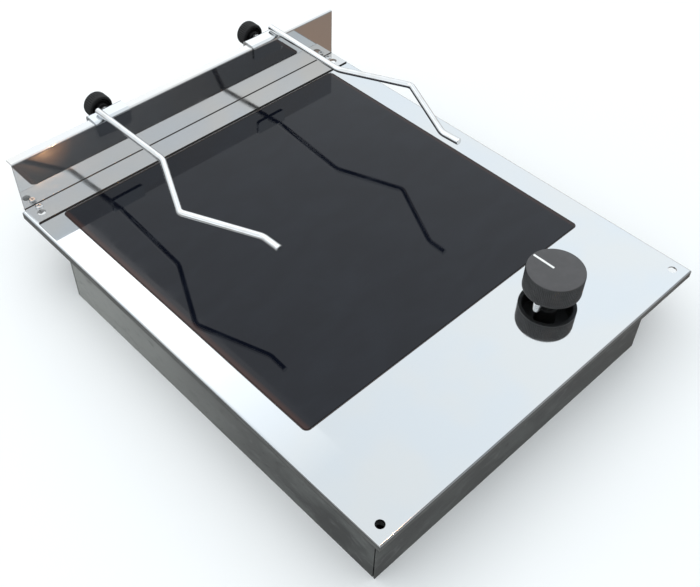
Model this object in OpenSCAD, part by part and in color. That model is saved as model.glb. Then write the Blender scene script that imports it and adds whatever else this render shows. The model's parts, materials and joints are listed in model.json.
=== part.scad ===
// Drop-in glass-ceramic hob with one radiant heater, a rotary control and two sliding pan holders.
// Everything is drawn from the front-left corner of the top plate, with z = 0 on its top face:
// +X runs to the user's right, +Y to the back, +Z up. place() then moves it onto the part's origin.

/* [Top plate] */
// Width of the top plate
plate_w = 350; // [330:1:420]
// Depth of the top plate, front to back
plate_d = 415; // [405:1:480]
// Thickness of the plate's sheet
plate_t = 1.2; // [0.8:0.1:1.5]
// Height of the turned-down rim
rim_h = 7.5; // [6:0.5:12]
// Outer radius of the bend between the top and the rim
bend_r = 2; // [1.5:0.1:3]
// Diameter of the four fixing holes
fix_hole_d = 7; // [5:0.5:8]
// Distance of the fixing holes from the plate's sides and front edge
fix_inset = 11; // [10:0.5:16]
// Distance of the rear fixing holes from the front edge
fix_rear_y = 402.5; // [400:0.5:404]

/* [Glass] */
// Width of the glass-ceramic panel
glass_w = 300; // [290:1:302]
// Depth of the glass-ceramic panel, front to back
glass_d = 296; // [286:1:297]
// Thickness of the glass
glass_t = 4; // [4:0.5:6]
// Width of the sealed joint round the glass
seal_gap = 1; // [0.6:0.1:1.5]
// Centre of the glass from the left edge of the plate
glass_x = 174.3; // [172:0.1:178]
// Centre of the glass from the front edge of the plate
glass_y = 242.2; // [240:0.1:242.5]

/* [Pan rail] */
// Height of the rail above the plate
rail_h = 48; // [44:1:60]
// Thickness of the rail's sheet
rail_t = 1.2; // [1:0.1:1.5]
// Depth of the rail's foot flange
rail_foot = 21.6; // [18:0.1:22]
// Depth of the lip folded back along the top
rail_lip = 8.5; // [7:0.5:10]

/* [Pan holders] */
// Centre of the left clamp from the left edge of the plate
left_clamp_x = 97; // [85:1:120]
// Centre of the right clamp from the left edge of the plate
right_clamp_x = 266; // [240:1:275]
// Width of a clamp bracket
clamp_w = 33.5; // [30:0.5:40]
// Thickness of the bracket's strip
clamp_t = 1.5; // [1.2:0.1:2]
// Length of the bracket's front leg
clamp_leg = 13.5; // [10:0.5:18]
// Diameter of the holder rods
rod_d = 5.5; // [4:0.5:6]
// Upward slope of the left rod, degrees
left_rise = 3.6; // [0:0.1:5]
// Upward slope of the right rod, degrees
right_rise = 2.2; // [0:0.1:5]
// Diameter of the thumb knobs
thumb_d = 22.4; // [18:0.1:24]
// Sideways offset of the left thumb screw from the middle of its clamp
left_screw_shift = 2; // [0:0.5:4]

/* [Control knob] */
// Centre of the knob from the left edge of the plate
knob_x = 244.8; // [230:0.1:260]
// Centre of the knob from the front edge of the plate
knob_y = 59.8; // [50:0.1:62]
// Diameter of the knob
knob_d = 46; // [40:1:50]
// Height of the knob
knob_h = 19; // [16:0.5:22]
// Gap between the knob and the plate
knob_gap = 9.8; // [8:0.1:12]
// Diameter of the control shaft
shaft_d = 6; // [6:0.5:8]

/* [Lower box] */
// Width of the box
box_w = 292; // [285:1:296]
// Depth of the box
box_d = 347; // [346:1:350]
// Depth of the box's floor below the top of the plate
box_drop = 51; // [50:1:60]
// Thickness of the box's sheet
box_t = 1; // [0.8:0.1:1.2]

/* [Hidden] */

$fn = 48;
e = 0.01;
air = 0.3;                                   // gap between parts that move past each other

rail_y = plate_d - 0.8;                      // front face of the rail
frame_t = 1.2;                               // sheet of the frame that carries the glass
box_x = 2;
box_y = 4;
box_top = -6;                                // top face of the box's inward flange
box_flange = 13;
box_h = box_drop + box_top;
seam_w = 1;                                  // open joint between a side panel and the front or rear wall
vent_d = 2.2;
vent_pitch = 25;
vent_z = -rim_h - 2.3;
foot_flange = 11;                            // width of a side panel's lower flange, on the box's floor

// Clamp bracket: an inverted U over the rail's lip
clamp_in_y = rail_y - air;                   // inner face of the front leg
clamp_back_y = rail_y + rail_lip + 4;        // inner face of the back leg
clamp_under = rail_h + air;                  // underside of the bracket's top
clamp_top = clamp_under + clamp_t;
clamp_bend_r = 3.2;                          // outer radius of the bracket's bends
screw_z = rail_h - rail_t - 2.4;             // thumb screw axis, just under the lip
left_screw_x = left_clamp_x + left_screw_shift;
screw_r = 2;
nut_len = 3;
thumb_front = clamp_back_y + clamp_t + nut_len + 1.2;
thumb_face = thumb_front + 1.2;              // rim stands back from the hub
thumb_len = 11.5;
thumb_back = thumb_face + thumb_len;

// Where the bends and the end of a holder rod lie
rod_bend_y = [329, 267, 203];
rod_end_y = 185;
rod_bends = [18.75, 7.75, 14.75];            // bend radii at the middle of the bar

overall_d = thumb_back;                      // the thumb knobs reach furthest back
knob_top = knob_gap + knob_h;
knob_wall = 3;
shaft_flat = 1.5;                            // the shaft's flat, from its axis
set_screw_z = knob_gap + 6;
set_screw_r = 1.5;
pointer_w = 2;
pointer_from = 2;
pointer_sunk = 0.4;

stud_len = 13.4;                             // lowest point of the weld studs, below the plate's top
stud_at = [[9, 60], [9, 200], [9, 325], [80, 11], [200, 11], [287, 45]];
strap_rear_x = [90, 230];
strap_side_y = 230;
strap_t = 1.2;
strap_w = 16;
strap_z = box_top - box_t - strap_t;
strap_rear_end = plate_d - 7.5;
strap_side_end = plate_w - 13;
strap_joints = [[strap_rear_x[0], 344], [strap_rear_x[1], 344], [box_x + box_w - 7, strap_side_y]];
strap_ends = [
    [strap_rear_x[0], strap_rear_end], [strap_rear_x[1], strap_rear_end], [strap_side_end, strap_side_y],
];
m4 = 4;
m4_way = 4.3;
m4_nut = [7, 3.2];                           // across flats, height

dish_r = 100;
dish_top = -8;
dish_floor = -36;
heater_x = glass_x;
heater_y = glass_y;
base_top = dish_floor + 15;                  // the heating ribbon stands on the insulation here
ribbon_r = 22;
ribbon_pitch = 9.5;
ribbon_turns = 7;
ribbon_gap = 14;
ribbon_h = 5;
ribbon_t = 0.6;
limiter_z = dish_floor + 24;
limiter_size = [30, 22, 18];
limiter_x = heater_x - dish_r - 4 - limiter_size[0];

reg_w = 48;
reg_d = 44;
reg_h = 29;
reg_plate_t = 1.2;
reg_top = -plate_t - reg_plate_t;            // underside of the regulator's mounting plate
tab = [6.3, 0.8];                            // width and thickness of a push-on tab
tab_len = 8;
tab_rows = [[-16, -12], [0, -12], [16, -12], [-16, 12], [0, 12], [16, 12]];
reg_foot = reg_top - reg_h - tab_len;        // lowest point of the regulator's tabs
shaft_low = reg_top - 17;
control_screw_dx = 15;

block_x = 22;
block_y = 296;
block_size = [34, 18, 16];
floor_z = -box_drop + box_t;
earth_at = [70, 336];

gland_x = 39;
gland_z = -28;
gland_bore = 9;
gland_thread = 15.8;
wall_y = box_y + box_d;                      // outer face of the box's rear wall

wire_r = 1.5;
wire_z = floor_z + 3;
wire_front = 24;                             // where the wires cross in front of the regulator
ferrule_z = floor_z + 7;                     // height of the wires in the terminal block

arc_steps = 5;                               // facets along a bend
wire_bend = 3;

rail_x0 = 2.5;
rail_x1 = plate_w - 2;
rail_bend_r = 1.8;
rail_screw_x = [13, plate_w - 12];
rail_screw_y = rail_y - 5;
m3_way = 3.4;                                // clearance hole for a 3 mm screw

// Origin: middle of the bounding box in X and Y, underside of the box in Z
module place() translate([-plate_w / 2, -overall_d / 2, box_drop]) children();

// Flat sheet with rounded corners, centred on a point, between two heights
module pane(side_x, side_y, r, z0, z1) {
    translate([0, 0, z0]) linear_extrude(z1 - z0) round_rect(side_x, side_y, r);
}

// Pane of the glass's outline, grown on every side
module glass_pane(grow, r, z0, z1) {
    translate([glass_x, glass_y, 0]) pane(glass_w + 2 * grow, glass_d + 2 * grow, r, z0, z1);
}

module round_rect(side_x, side_y, r) {
    square([side_x - 2 * r, side_y], center = true);
    square([side_x, side_y - 2 * r], center = true);
    for (sx = [-1, 1], sy = [-1, 1]) {
        translate([sx * (side_x / 2 - r), sy * (side_y / 2 - r)]) circle(r);
    }
}

function unit(v) = v / norm(v);

function turned(p, axis, a) = p * cos(a) + cross(axis, p) * sin(a) + axis * (axis * p) * (1 - cos(a));

// Arc of radius r that rounds the corner at b between a and c
function corner(a, b, c, r) =
    let (u = unit(a - b), v = unit(c - b), half = acos(u * v) / 2)
    let (center = b + unit(u + v) * r / sin(half), axis = unit(cross(u, v)))
    let (start = b + u * r / tan(half) - center, sweep = 180 - 2 * half)
    [for (k = [0 : arc_steps]) center + turned(start, axis, -sweep * k / arc_steps)];

function rounded(points, radii) = [
    points[0],
    for (i = [1 : len(points) - 2]) each corner(points[i - 1], points[i], points[i + 1], radii[i - 1]),
    points[len(points) - 1],
];

function heading(path, i) = unit(path[min(i + 1, len(path) - 1)] - path[max(i - 1, 0)]);

// Sideways direction at each point of a path, carried along it without twist
function sideways(path, side, i = 0) = i == len(path) ? [] :
    let (along = heading(path, i), s = unit(side - along * (side * along)))
    concat([s], sideways(path, s, i + 1));

// Round bar or wire of radius r along straight runs, with a rounded bend at each inner point
module bent_bar(points, radii, r, sides) {
    path = rounded(points, radii);
    last = len(path) - 1;
    first = heading(path, 0);
    side = sideways(path, abs(first[2]) > 0.9 ? [1, 0, 0] : unit(cross(first, [0, 0, 1])));
    up = [for (i = [0 : last]) cross(heading(path, i), side[i])];
    rings = [for (i = [0 : last], k = [0 : sides - 1])
        path[i] + side[i] * r * cos(360 * k / sides) + up[i] * r * sin(360 * k / sides)];
    walls = [for (i = [0 : last - 1], k = [0 : sides - 1], h = [0, 1])
        let (a = i * sides + k, b = i * sides + (k + 1) % sides)
        h == 0 ? [a, a + sides, b + sides] : [a, b + sides, b]];
    ends = [[for (k = [0 : sides - 1]) k], [for (k = [sides - 1 : -1 : 0]) last * sides + k]];
    polyhedron(rings, concat(walls, ends));
}

module wire(points) {
    bent_bar(points, [for (p = points) wire_bend], wire_r, 10);
}

module hex(af, h) {
    cylinder(d = af / cos(30), h = h, $fn = 6);
}

module hex_nut(af, bore, h) {
    difference() {
        hex(af, h);
        translate([0, 0, -e]) cylinder(d = bore, h = h + 2 * e);
    }
}

module small_nut() hex_nut(m4_nut[0], m4, m4_nut[1]);

module fixing_holes() {
    for (x = [fix_inset, plate_w - fix_inset], y = [fix_inset, fix_rear_y]) {
        translate([x, y, -60]) cylinder(d = fix_hole_d, h = 70);
    }
}

// ---- Top plate and glass ------------------------------------------------------------

// Cross-section of the plate: flat top with rounded shoulders, open below
module plate_section(width, drop, r) {
    translate([r, -drop]) square([width - 2 * r, drop]);
    translate([0, -drop]) square([width, drop - r]);
    for (x = [r, width - r]) translate([x, -r]) circle(r);
}

module plate_solid(grow, r, drop) {
    intersection() {
        translate([grow, plate_d + 10, -grow]) rotate([90, 0, 0])
            linear_extrude(plate_d + 20) plate_section(plate_w - 2 * grow, drop, r);
        translate([-10, grow, -grow]) rotate([90, 0, 90])
            linear_extrude(plate_w + 20) plate_section(plate_d - 2 * grow, drop, r);
    }
}

module top_plate() {
    color("#d9dde0") place() difference() {
        plate_solid(0, bend_r, rim_h);
        plate_solid(plate_t, bend_r - plate_t, rim_h + 1);
        glass_pane(seal_gap, 4.5, -plate_t - 1, 1);
        fixing_holes();
        translate([knob_x, knob_y, -3]) cylinder(d = 10.4, h = 6);
        for (s = [-1, 1]) translate([knob_x + s * control_screw_dx, knob_y, -3]) cylinder(d = 4.4, h = 6);
        for (x = rail_screw_x) translate([x, rail_screw_y, -3]) cylinder(d = m3_way, h = 6);
    }
}

module ceramic_glass() {
    color("#15171b") place() {
        glass_pane(0, 3.5, -glass_t, -0.4);
        glass_pane(-0.4, 3.2, -0.4 - e, 0);
    }
}

module glass_seal() {
    color("#2a211c") place() difference() {
        glass_pane(seal_gap, 4.5, -plate_t - 1.5, -0.25);
        glass_pane(0, 3.5, -plate_t - 2, 1);
    }
}

module glass_gasket() {
    color("#8f8f8a") place() difference() {
        glass_pane(-0.5, 3, -glass_t - 0.5, -glass_t);
        glass_pane(-6, 2, -glass_t - 1, 1);
    }
}

// Stepped frame welded under the plate, which carries the glass
module glass_frame() {
    floor_top = -glass_t - 0.5;
    step_top = -plate_t - frame_t;
    wall_in = seal_gap + frame_t;
    wall_out = wall_in + frame_t;
    color("#a3a7a9") place() {
        difference() {
            glass_pane(wall_out, 5, floor_top - frame_t, floor_top);
            glass_pane(-7, 2, floor_top - 2, 1);
        }
        difference() {
            glass_pane(wall_out, 5, floor_top - e, step_top + e);
            glass_pane(wall_in, 4, floor_top - 1, 1);
        }
        difference() {
            glass_pane(wall_out + 4.6, 5, step_top, -plate_t);
            glass_pane(wall_in, 4, floor_top - 1, 1);
        }
    }
}

// ---- Pan rail -----------------------------------------------------------------------

module pan_rail() {
    r = rail_bend_r;
    color("#e3e6e8") place() difference() {
        translate([rail_x0, 0, 0]) rotate([90, 0, 90]) linear_extrude(rail_x1 - rail_x0) {
            translate([rail_y - rail_foot, 0]) square([rail_foot + rail_t - r + e, rail_t]);
            translate([rail_y, r - e]) square([rail_t, rail_h - 2 * r + 2 * e]);
            bend([rail_y + rail_t - r, r], r, rail_t, [1, -1]);
            bend([rail_y + r, rail_h - r], r, rail_t, [-1, 1]);
            translate([rail_y + r - e, rail_h - rail_t]) square([rail_lip - r + e, rail_t]);
        }
        fixing_holes();
        for (x = rail_screw_x) translate([x, rail_screw_y, -1]) cylinder(d = m3_way, h = 4);
    }
}

// A quarter of a ring, for a bend in folded sheet; dir says which quarter
module bend(at, r, t, dir) {
    translate(at) intersection() {
        difference() {
            circle(r);
            circle(r - t);
        }
        translate([dir[0] > 0 ? 0 : -r, dir[1] > 0 ? 0 : -r]) square(r);
    }
}

module rail_screws() {
    color("#c9cdd0") place() for (x = rail_screw_x) translate([x, rail_screw_y, rail_t]) {
        difference() {
            union() {
                cylinder(d = 6, h = 1.5);
                translate([0, 0, 1.5 - e]) cylinder(d1 = 6, d2 = 4.6, h = 0.7);
            }
            for (a = [0, 90]) rotate([0, 0, a]) translate([-1.5, -0.35, 1]) cube([3, 0.7, 2]);
        }
        translate([0, 0, -rail_t - plate_t - 4]) cylinder(d = 3, h = rail_t + plate_t + 4 + e);
    }
}

module rail_nuts() {
    color("#b0b4b6") place() for (x = rail_screw_x) {
        translate([x, rail_screw_y, -plate_t - 2.4]) hex_nut(5.5, 3, 2.4);
    }
}

// ---- Lower box and how it hangs from the plate --------------------------------------

// Floor, front wall and its inward flange, folded from one sheet
module box_shell() {
    color("#6a6d69") place() difference() {
        translate([box_x, box_y, -box_drop]) {
            translate([box_t, 0, 0]) cube([box_w - 2 * box_t, box_d - box_t, box_t]);
            cube([box_w, box_t, box_h]);
            translate([box_t, 0, box_h - box_t]) cube([box_w - 2 * box_t, box_flange, box_t]);
        }
        box_holes();
        cross_vents();
    }
}

// Rear wall with inward flanges along its top and bottom, and the hole for the gland
module rear_panel() {
    color("#6a6d69") place() difference() {
        union() {
            translate([box_x, wall_y - box_t, -box_drop]) cube([box_w, box_t, box_h]);
            translate([box_x + box_t, wall_y - box_flange, box_top - box_t]) {
                cube([box_w - 2 * box_t, box_flange, box_t]);
            }
            translate([box_x + box_flange, wall_y - foot_flange + 1, floor_z]) {
                cube([box_w - 2 * box_flange, foot_flange - 1, box_t]);
            }
        }
        box_holes();
        cross_vents();
        translate([gland_x, wall_y + 1, gland_z]) rotate([90, 0, 0]) cylinder(d = gland_thread + 0.4, h = 4);
    }
}

// Row of vents through the front and rear walls
module cross_vents() {
    for (x = [box_x + vent_pitch / 2 : vent_pitch : box_x + box_w - vent_pitch / 3]) {
        translate([x, wall_y + 1, vent_z]) rotate([90, 0, 0]) cylinder(d = vent_d, h = box_d + 2);
    }
}

// Side panel with inward flanges along its top and bottom; side is -1 for left, 1 for right
module side_panel(side) {
    y0 = box_y + box_t + seam_w;
    y1 = wall_y - box_t - seam_w;
    f0 = box_y + box_flange + 0.5;
    f1 = wall_y - box_flange - 0.5;
    x = side < 0 ? box_x : box_x + box_w - box_t;
    color("#6a6d69") place() difference() {
        union() {
            translate([x, y0, -box_drop]) cube([box_t, y1 - y0, box_h]);
            translate([side < 0 ? box_x : box_x + box_w - box_flange, f0, box_top - box_t]) {
                cube([box_flange, f1 - f0, box_t]);
            }
            translate([side < 0 ? box_x : box_x + box_w - foot_flange, f0, floor_z]) {
                cube([foot_flange, f1 - f0, box_t]);
            }
        }
        box_holes();
        for (y = [box_y + vent_pitch / 2 : vent_pitch : wall_y - vent_pitch / 3]) {
            translate([x - 1, y, vent_z]) rotate([0, 90, 0]) cylinder(d = vent_d, h = box_t + 2);
        }
    }
}

module left_side_panel() side_panel(-1);

module right_side_panel() side_panel(1);

// Holes in the box for the plate's fixings, the studs and the straps that pass through its walls
module box_holes() {
    fixing_holes();
    for (p = stud_at) translate([p[0], p[1], box_top - 3]) cylinder(d = m4_way, h = 5);
    for (p = strap_joints) translate([p[0], p[1], box_top - 3]) cylinder(d = 3.2, h = 5);
    slot = strap_w + 0.6;
    z = strap_z - air;
    for (x = strap_rear_x) translate([x - slot / 2, wall_y - 3, z]) cube([slot, 4, strap_t + air]);
    translate([box_x + box_w - 3, strap_side_y - slot / 2, z]) cube([4, slot, strap_t + air]);
}

module weld_studs() {
    color("#b9853f") place() {
        for (p = stud_at) translate([p[0], p[1], -stud_len]) cylinder(d = m4, h = stud_len - plate_t);
        for (p = strap_ends) translate([p[0], p[1], -stud_len]) cylinder(d = m4, h = stud_len - plate_t);
    }
}

module stud_nuts() {
    color("#b0b4b6") place() {
        for (p = stud_at) translate([p[0], p[1], box_top - box_t - m4_nut[1]]) small_nut();
        for (p = strap_ends) translate([p[0], p[1], strap_z - m4_nut[1]]) small_nut();
    }
}

module hanger_straps() {
    color("#8b8f91") place() for (i = [0 : 2]) difference() {
        strap_bar(strap_joints[i], strap_ends[i]);
        translate([strap_joints[i][0], strap_joints[i][1], strap_z - 1]) cylinder(d = 3.2, h = 4);
        translate([strap_ends[i][0], strap_ends[i][1], strap_z - 1]) cylinder(d = m4_way, h = 4);
    }
}

module strap_bar(a, b) {
    along_y = a[0] == b[0];
    w = strap_w / 2;
    lo = [min(a[0], b[0]) - (along_y ? w : 5), min(a[1], b[1]) - (along_y ? 5 : w), strap_z];
    hi = [max(a[0], b[0]) + (along_y ? w : 5), max(a[1], b[1]) + (along_y ? 5 : w), strap_z + strap_t];
    translate(lo) cube(hi - lo);
}

module strap_spacers() {
    color("#c9cdd0") place() for (p = strap_ends) translate([p[0], p[1], strap_z + strap_t]) difference() {
        cylinder(d = 7, h = -plate_t - strap_z - strap_t);
        translate([0, 0, -1]) cylinder(d = 4.2, h = 12);
    }
}

module strap_rivets() {
    color("#b0b4b6") place() for (p = strap_joints) translate([p[0], p[1], 0]) {
        translate([0, 0, strap_z - 0.8]) cylinder(d = 3, h = box_top - strap_z + 1.6);
        translate([0, 0, box_top]) cylinder(d1 = 6, d2 = 4, h = 0.9);
        translate([0, 0, strap_z - 0.9]) cylinder(d1 = 4, d2 = 5, h = 0.9);
    }
}

// ---- Radiant heater -----------------------------------------------------------------

module at_heater() translate([heater_x, heater_y, 0]) children();

module heater_dish() {
    color("#a9adaf") place() at_heater() difference() {
        rotate_extrude($fn = 96) {
            square_ring(0, dish_r - 4, dish_floor, dish_floor + 0.8);
            square_ring(dish_r - 4.8, dish_r - 4, dish_floor, dish_top);
            square_ring(dish_r - 4.8, dish_r, dish_top - 0.8, dish_top);
        }
        limiter_way(2.6);
    }
}

module square_ring(r0, r1, z0, z1) {
    translate([r0, z0]) square([r1 - r0, z1 - z0]);
}

module heater_base() {
    color("#e8e2d2") place() at_heater() rotate_extrude($fn = 96) {
        square_ring(0, dish_r - 5, dish_floor + 0.8, base_top);
    }
}

module heater_ring() {
    color("#efeadf") place() at_heater() difference() {
        rotate_extrude($fn = 96) square_ring(dish_r - 16, dish_r - 5, base_top, -glass_t - 0.6);
        limiter_way(2.6);
    }
}

// Concentric ribbon turns, each open at one side and joined there to the next
module heater_ribbon() {
    color("#9a6a4a") place() at_heater() {
        for (i = [0 : ribbon_turns - 1]) ribbon_turn(ribbon_r + i * ribbon_pitch);
        for (i = [0 : ribbon_turns - 2]) ribbon_link(ribbon_r + i * ribbon_pitch, i % 2 == 0 ? 1 : -1);
    }
}

module ribbon_turn(r) {
    difference() {
        rotate_extrude($fn = 96) square_ring(r, r + ribbon_t, base_top + 0.2, base_top + ribbon_h);
        translate([-ribbon_gap / 2, 0, base_top - 1]) cube([ribbon_gap, dish_r, ribbon_h + 2]);
    }
}

module ribbon_link(r, side) {
    y0 = sqrt(pow(r, 2) - pow(ribbon_gap / 2, 2));
    y1 = sqrt(pow(r + ribbon_pitch, 2) - pow(ribbon_gap / 2, 2)) + ribbon_t;
    translate([side * (ribbon_gap / 2 + 0.3) - 0.6, y0 - 0.8, base_top]) {
        cube([1.2, y1 - y0 + 1.6, ribbon_h + 0.2]);
    }
}

// Straight passage for the limiter's rod, from the left rim to near the far rim
module limiter_way(r) {
    translate([-dish_r - 4, 0, limiter_z]) rotate([0, 90, 0]) cylinder(r = r, h = 2 * dish_r - 14);
}

module limiter_rod() {
    color("#d8d4cc") place() at_heater() limiter_way(2);
}

module limiter_head() {
    head_x = limiter_x - heater_x;
    color("#dedacb") place() at_heater() {
        translate([head_x, -limiter_size[1] / 2, limiter_z - 12]) cube(limiter_size);
        for (y = [-6, 6]) translate([head_x - tab_len, y - tab[0] / 2, limiter_z - 2]) {
            cube([tab_len + e, tab[0], tab[1]]);
        }
    }
}

module heater_springs() {
    lift = dish_floor - floor_z;
    t = 0.8;
    color("#c0c3c5") place() at_heater() for (a = [45 : 90 : 315]) rotate([0, 0, a]) {
        translate([60, -6, floor_z]) cube([26, 12, t]);
        translate([86 - t, -6, floor_z]) cube([t, 12, lift]);
        translate([70, -6, dish_floor - t]) cube([16, 12, t]);
    }
}

// ---- Energy regulator and knob ------------------------------------------------------

module at_knob() translate([knob_x, knob_y, 0]) children();

module regulator_plate() {
    color("#b9bdbf") place() at_knob() difference() {
        pane(58, 30, 3, reg_top, -plate_t);
        translate([0, 0, -3]) cylinder(d = 10.4, h = 4);
        for (s = [-1, 1]) translate([s * control_screw_dx, 0, -3]) cylinder(d = 3.4, h = 4);
    }
}

module regulator_body() {
    color("#3b3f42") place() at_knob() difference() {
        pane(reg_w, reg_d, 3, reg_top - reg_h, reg_top);
        for (s = [-1, 1]) translate([s * control_screw_dx, 0, reg_top - 7]) cylinder(d = 4.4, h = 8);
        translate([0, 0, reg_top - 20]) cylinder(d = 10, h = 21);
    }
}

module regulator_tabs() {
    color("#c8b27a") place() at_knob() for (p = tab_rows) {
        translate([p[0] - tab[0] / 2, p[1] - tab[1] / 2, reg_foot]) cube([tab[0], tab[1], tab_len]);
    }
}

module shaft_bushing() {
    color("#c4a35a") place() at_knob() difference() {
        translate([0, 0, reg_top - 19]) cylinder(d = 9.9, h = 19 - reg_top + 4.5);
        translate([0, 0, reg_top - 20]) cylinder(d = shaft_d + 0.1, h = 40);
    }
}

module shaft_washer() {
    color("#26282a") place() at_knob() difference() {
        cylinder(d = 18, h = 1.5);
        translate([0, 0, -1]) cylinder(d = 10, h = 4);
    }
}

module control_screws() {
    color("#d6d9db") place() at_knob() for (s = [-1, 1]) translate([s * control_screw_dx, 0, 0]) {
        difference() {
            cylinder(d = 7, h = 4);
            translate([0, 0, 2]) hex(3, 3);
        }
        translate([0, 0, reg_top - 6]) cylinder(d = 3.2, h = 6 - reg_top + e);
    }
}

module control_shaft() {
    color("#b9bcbe") place() at_knob() difference() {
        translate([0, 0, shaft_low]) cylinder(d = shaft_d, h = knob_top - 4 - shaft_low);
        translate([shaft_flat, -4, knob_gap + 2]) cube([3, 8, knob_h]);
    }
}

module control_knob() {
    r = knob_d / 2;
    z0 = knob_gap;
    z1 = knob_top;
    edge = 0.9;
    color("#36373a") place() at_knob() difference() {
        rotate_extrude($fn = 96) difference() {
            union() {
                square_ring(0, r, z0 + 0.8, z1 - edge);
                square_ring(0, r - edge, z1 - edge - e, z1);
                translate([r - edge, z1 - edge]) circle(edge);
                square_ring(0, r - 0.8, z0, z0 + 0.8 + e);
            }
            square_ring(8, r - knob_wall, z0 - 1, z1 - knob_wall);
            square_ring(-1, shaft_d / 2, z0 - 1, z1 - 4);
        }
        set_screw_way(set_screw_r + 0.1, r + 2);
        pointer_bar(1);
    }
    color("#36373a") place() at_knob() difference() {
        translate([shaft_flat, -3, knob_gap + 2.2]) cube([2.5, 6, knob_h - 6.4]);
        set_screw_way(set_screw_r + 0.1, r + 2);
    }
}

// The clamp screw bears on the shaft's flat
module set_screw_way(r, reach) {
    translate([shaft_flat, 0, set_screw_z]) rotate([0, 90, 0]) cylinder(r = r, h = reach - shaft_flat);
}

// Bar from near the middle of the knob's top to its edge, sunk into it
module pointer_bar(h) {
    translate([-pointer_w / 2, pointer_from, knob_top - pointer_sunk]) {
        cube([pointer_w, knob_d / 2 - 1.4 - pointer_from, h]);
    }
}

module knob_pointer() {
    color("#f4f4f2") place() at_knob() pointer_bar(pointer_sunk + 0.05);
}

module knob_set_screw() {
    color("#7d8083") place() at_knob() difference() {
        set_screw_way(set_screw_r, 8);
        translate([6.5, 0, set_screw_z]) rotate([0, 90, 0]) hex(1.5, 3);
    }
}

// ---- Wiring -------------------------------------------------------------------------

module terminal_block() {
    color("#e6e3d8") place() translate([block_x, block_y, floor_z]) difference() {
        cube(block_size);
        for (i = [0 : 2]) translate([6 + i * 11, 0, 0]) {
            translate([0, 9, 8]) cylinder(d = 5, h = 20);
            translate([0, -1, 7]) rotate([-90, 0, 0]) cylinder(d = 4, h = 20);
        }
    }
}

module terminal_screws() {
    color("#c4a35a") place() for (i = [0 : 2]) translate([block_x + 6 + i * 11, block_y + 9, floor_z + 10]) {
        difference() {
            cylinder(d = 4.6, h = 3);
            translate([-3, -0.4, 2]) cube([6, 0.8, 2]);
        }
    }
}

module earth_stud() {
    color("#c4a35a") place() translate([earth_at[0], earth_at[1], floor_z]) cylinder(d = m4, h = 14);
}

module earth_nuts() {
    color("#b0b4b6") place() for (z = [0, 6.5]) {
        translate([earth_at[0], earth_at[1], floor_z + z]) small_nut();
    }
}

module cable_gland() {
    color("#1f2022") place() translate([gland_x, wall_y, gland_z]) rotate([-90, 0, 0]) difference() {
        union() {
            translate([0, 0, -9]) cylinder(d = gland_thread, h = 10);
            hex(22, 5);
            translate([0, 0, 5 - e]) cylinder(d = 20, h = 8);
            translate([0, 0, 13 - 2 * e]) cylinder(d1 = 20, d2 = 15, h = 4);
        }
        translate([0, 0, -10]) cylinder(d = gland_bore, h = 40);
    }
}

module gland_nut() {
    color("#1f2022") place() translate([gland_x, wall_y - box_t - 4.5, gland_z]) rotate([-90, 0, 0]) {
        hex_nut(22, gland_thread, 4.5);
    }
}

module live_wire() {
    x = block_x + 6;
    color("#7a4a2a") place() wire([
        [x, block_y + 4, ferrule_z], [x, block_y - 8, ferrule_z], [14, block_y - 20, wire_z],
        [14, wire_front, wire_z], [knob_x, wire_front, wire_z],
        [knob_x, knob_y - 12, wire_z], [knob_x, knob_y - 12, reg_foot],
    ]);
}

module neutral_wire() {
    x = block_x + 17;
    tab_x = limiter_x - 5;
    color("#2c4f8c") place() wire([
        [x, block_y + 4, ferrule_z], [x, block_y - 10, ferrule_z], [24, block_y - 22, wire_z],
        [24, heater_y + 6, wire_z], [tab_x, heater_y + 6, limiter_z - 12],
        [tab_x, heater_y + 6, limiter_z - 2],
    ]);
}

module link_wire() {
    tab_x = limiter_x - 5;
    color("#1c1c1c") place() wire([
        [tab_x, heater_y - 6, limiter_z - 2], [tab_x, heater_y - 6, limiter_z - 12],
        [24, heater_y - 16, wire_z], [24, wire_front + 10, wire_z], [knob_x - 16, wire_front + 10, wire_z],
        [knob_x - 16, knob_y - 12, wire_z], [knob_x - 16, knob_y - 12, reg_foot],
    ]);
}

module earth_wire() {
    x = block_x + 28;
    ring_r = 4.5;
    ring_z = floor_z + 3.8;
    color("#5f7a2c") place() {
        wire([
            [x, block_y + 4, ferrule_z], [x, block_y - 8, ferrule_z], [x + 12, block_y - 8, floor_z + 5],
            [earth_at[0], block_y + 6, ring_z + 0.8], [earth_at[0], earth_at[1] - ring_r - 1.5, ring_z + 0.8],
        ]);
        translate([earth_at[0], earth_at[1], ring_z]) difference() {
            union() {
                cylinder(r = ring_r, h = 1.6);
                translate([-2, -ring_r - 3, 0]) cube([4, 4, 1.6]);
            }
            translate([0, 0, -1]) cylinder(d = m4 + 0.2, h = 4);
        }
    }
}

// ---- Pan holders --------------------------------------------------------------------

// Inverted-U bracket, bent from strip, with rounded lower corners on its legs and a hole at screw_x
module clamp(x, screw_x) {
    r = clamp_bend_r;
    front = clamp_in_y - clamp_t;
    back = clamp_back_y + clamp_t;
    difference() {
        union() {
            translate([x - clamp_w / 2, 0, 0]) rotate([90, 0, 90]) linear_extrude(clamp_w) {
                translate([front + r - e, clamp_under]) square([back - front - 2 * r + 2 * e, clamp_t]);
                bend([front + r, clamp_top - r], r, clamp_t, [-1, 1]);
                bend([back - r, clamp_top - r], r, clamp_t, [1, 1]);
            }
            leg(x, clamp_in_y, clamp_leg);
            leg(x, back, clamp_under - screw_z + 6.5);
        }
        translate([screw_x, clamp_back_y - 1, screw_z]) rotate([-90, 0, 0]) {
            cylinder(r = screw_r + air, h = clamp_t + 2);
        }
    }
}

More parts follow.
